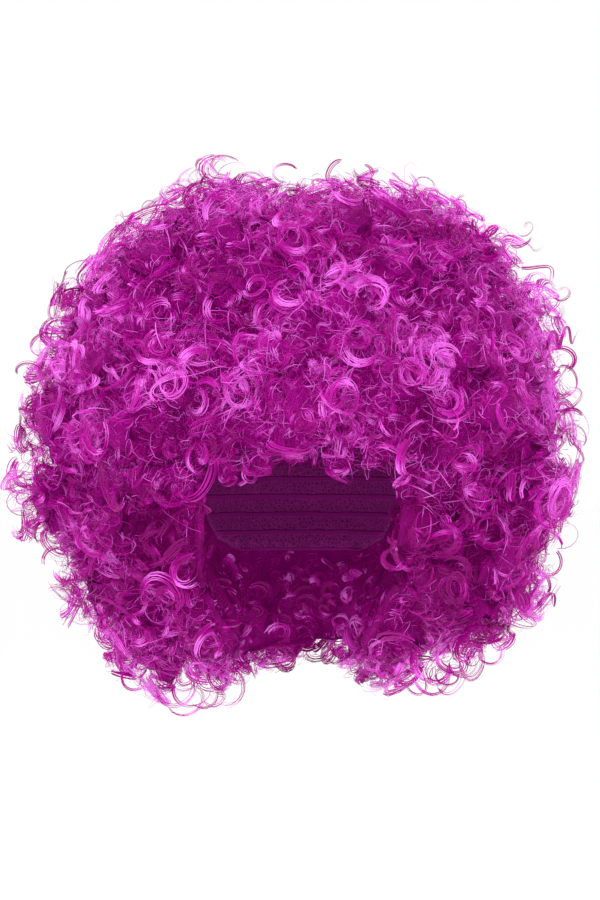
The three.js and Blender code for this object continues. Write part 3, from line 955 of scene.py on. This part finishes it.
lowerRightCurls = [
    (-70, -170, 12, 3.0, 0.75, 60, 0.85, 0.5, 0.7),
    (-84, -236, 11, 2.0, 0.9, 90, 0.8, 0.9, 0.5),
    (-76, -245, 8, 1.6, -0.8, 20, 0.8, 1.2, 0.55),
    (-69, -250, 13, 1.4, 0.7, 150, 0.9, 0.5, 0.6),
    (-60, -243, 8, 2.4, 1.1, 60, 0.7, 1.0, 0.45),
    (-55, -253, 7, 1.2, 0.8, 200, 0.8, 0.7, 0.6),
    (-46, -246, 12, 1.2, -0.8, 100, 0.9, 0.6, 0.5),
    (-40, -238, 7, 2.0, 1.0, 30, 0.8, 1.1, 0.45),
    (-52, -240, 10, 2.2, 0.9, 120, 0.8, 0.8, 0.4),
    (-72, -238, 9, 2.4, -0.9, 60, 0.8, 0.9, 0.4),
    (-81, -248, 13, 1.2, 0.8, 170, 0.9, 0.4, 0.5),
    (-62, -252, 9, 1.0, 0.9, 220, 0.85, 0.5, 0.5),
    (-94, -243, 8, 0.8, 0.9, 150, 0.85, 0.5, 0.5),
    (-74, -256, 12, 0.9, 0.9, 200, 0.9, 0.5, 0.5),
    (-103, -238, 10, 1.2, 0.9, 170, 0.9, 0.5, 0.5),
    (-157, -154, 9, 2.0, 0.8, 120, 0.85, 0.5, 0.4),
    (-155, -165, 9, 1.6, -0.8, 200, 0.85, 0.5, 0.45),
    (-150, -175, 8, 1.8, 0.9, 160, 0.85, 0.6, 0.4),
]
lowerLeftCurls = [
    (78, -232, 9, 2.6, 0.9, 90, 0.8, 0.6, 0.5),
    (87, -236, 9, 2.4, -0.9, 40, 0.8, 0.6, 0.55),
    (96, -230, 10, 2.8, 0.8, 150, 0.8, 0.5, 0.6),
    (105, -222, 9, 2.6, 1.0, 60, 0.7, 0.6, 0.45),
    (70, -238, 8, 2.2, 0.8, 200, 0.8, 0.7, 0.55),
    (112, -214, 9, 2.4, 0.8, 20, 0.8, 0.7, 0.5),
    (54, -236, 6, 1.6, 1.2, 100, 0.8, 0.6, 0.6),
    (84, -240, 11, 1.2, 0.8, 180, 0.9, 0.5, 0.5),
    (94, -238, 8, 1.4, -0.9, 20, 0.85, 0.6, 0.45),
    (74, -243, 7, 1.0, 1.0, 200, 0.85, 0.6, 0.5),
    (104, -232, 9, 1.2, 0.9, 160, 0.85, 0.6, 0.5),
    (140, -203, 9, 1.4, 0.9, 150, 0.85, 0.6, 0.45),
    (128, -214, 10, 1.6, -0.8, 30, 0.85, 0.6, 0.5),
    (121, -222, 9, 1.2, 0.9, 200, 0.85, 0.6, 0.5),
    (110, -231, 9, 1.4, 0.8, 160, 0.85, 0.6, 0.45),
    (97, -241, 9, 1.0, 0.9, 190, 0.85, 0.6, 0.5),
    (159, -154, 10, 1.8, 0.8, 330, 0.85, 0.5, 0.4),
    (158, -166, 10, 1.6, -0.8, 60, 0.85, 0.5, 0.45),
    (154, -179, 9, 1.8, 0.9, 300, 0.85, 0.6, 0.4),
]

# The curls of each kind and the loose fibres that a tier holds, the whorls for each clump. The
# charted curls have their number of strands and their fray, and a hem keeps curls above it.
tiers = {
    "crown_hair": {
        "whorls": 3, "rings": 190, "ringlets": 90, "hooks": 380, "strays": 130, "fibres": 3600,
        "charted": (frontCurls, 9, 0.0006),
        "springs": crownSprings,
    },
    "fringe_hair": {
        "whorls": 3, "rings": 90, "ringlets": 40, "hooks": 150, "strays": 16, "fibres": 1600,
        "hem": -0.098,
        "charted": (foreheadCurls, 9, 0.0006),
    },
    "left_temple_hair": {
        "whorls": 3, "rings": 110, "ringlets": 60, "hooks": 210, "strays": 90, "fibres": 2050,
        "charted": (leftTempleCurls, 7, 0.0012),
    },
    "right_temple_hair": {
        "whorls": 3, "rings": 110, "ringlets": 60, "hooks": 210, "strays": 90, "fibres": 2050,
        "charted": (rightTempleCurls, 7, 0.0012),
    },
    "back_hair": {
        "whorls": 3, "rings": 110, "ringlets": 60, "hooks": 210, "strays": 70, "fibres": 2050,
    },
    "left_side_hair": {
        "whorls": 3, "rings": 100, "ringlets": 90, "hooks": 200, "strays": 90, "fibres": 2050,
        "lining": 110,
        "charted": (lowerLeftCurls, 6, 0.0022),
        "springs": leftSprings,
    },
    "right_side_hair": {
        "whorls": 3, "rings": 100, "ringlets": 90, "hooks": 200, "strays": 90, "fibres": 2050,
        "lining": 110,
        "charted": (lowerRightCurls, 6, 0.0022),
        "springs": rightSprings,
    },
    "nape_hair": {
        "whorls": 3, "rings": 100, "ringlets": 80, "hooks": 200, "strays": 90, "fibres": 2050,
        "lining": 120,
    },
}
for i, node in enumerate(tiers):
    tiers[node]["seed"] = i + 1

triangles = 0
for node, look in tiers.items():
    points, faces, _ = masses[node]
    lay = np.zeros((len(points), 3))
    # The mass's tone from the mesh is its painted light and shade
    lay[:, 2] = paintedLightAndShadeAt(points)
    mass = meshFrom(node.replace("hair", "mass"), points, faces, lay, massLook)
    curls = meshFrom(node.replace("hair", "curls"), *curlsOf(node, look), curlLook)
    for piece in (mass, curls):
        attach(piece, "root")
        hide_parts(node)
        triangles += len(piece.data.polygons)
    print("curls", node, len(curls.data.polygons), "mass", len(mass.data.polygons))
print("hair triangles", triangles)


# The cap as its solid is, smoothly shaded, with its net
def capPiece():
    work = dividedCopy("cap", capShape["edge"])
    mesh = bpy.data.meshes.new("cap_net")
    work.to_mesh(mesh)
    work.free()
    mesh.materials.append(capLook)
    mesh.shade_smooth()
    made = bpy.data.objects.new("cap_net", mesh)
    bpy.context.scene.collection.objects.link(made)
    return made


cap = capPiece()
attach(cap, "root")
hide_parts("cap")
print("cap", len(cap.data.polygons))

# The floor, the light and the camera, in metres, watts and millimetres of lens
room = {
    "floor": -0.75,
    "floor size": 30,
    "sky": 1.0,
    "aim": (0, 0, -0.08),
    "lights": {  # place, size and power
        "key": ((-0.7, -1.6, 1.5), 0.7, 20),
        "fill": ((1.4, -1.5, 0.4), 1.2, 2),
        "left rim": ((-1.5, 0.7, 1.0), 1.0, 7),
        "right rim": ((1.5, 0.7, 1.0), 1.0, 7),
    },
    "camera": (0, -1.8, -0.095),
    "lens": 110,
    "sensor": 36,
}

floorMaterial, _, _, floorShader = newMaterial("floor")
floorShader.inputs["Base Color"].default_value = (0.99, 0.99, 0.99, 1)
floorShader.inputs["Roughness"].default_value = 0.9
floorMesh = bpy.data.meshes.new("floor")
work = bmesh.new()
bmesh.ops.create_grid(work, x_segments=1, y_segments=1, size=room["floor size"])
work.to_mesh(floorMesh)
work.free()
floorMesh.materials.append(floorMaterial)
floor = bpy.data.objects.new("floor", floorMesh)
floor.location.z = room["floor"]
bpy.context.scene.collection.objects.link(floor)

world = bpy.data.worlds.new("studio")
world.use_nodes = True
world.node_tree.nodes["Background"].inputs["Color"].default_value = (1, 1, 1, 1)
world.node_tree.nodes["Background"].inputs["Strength"].default_value = room["sky"]
bpy.context.scene.world = world


def areaLight(name, place, size, power):
    data = bpy.data.lights.new(name, "AREA")
    data.size = size
    data.energy = power
    made = bpy.data.objects.new(name, data)
    made.location = place
    made.rotation_euler = (Vector(room["aim"]) - Vector(place)).to_track_quat("-Z", "Y").to_euler()
    bpy.context.scene.collection.objects.link(made)


for name, (place, size, power) in room["lights"].items():
    areaLight(name, place, size, power)
print("lights", len(room["lights"]))

bpy.context.scene.view_settings.view_transform = "Standard"

camera = bpy.data.objects.new("camera", bpy.data.cameras.new("camera"))
camera.data.lens = room["lens"]
camera.data.sensor_width = room["sensor"]
camera.location = room["camera"]
camera.rotation_euler = (math.pi / 2, 0, 0)
bpy.context.scene.collection.objects.link(camera)
bpy.context.scene.camera = camera
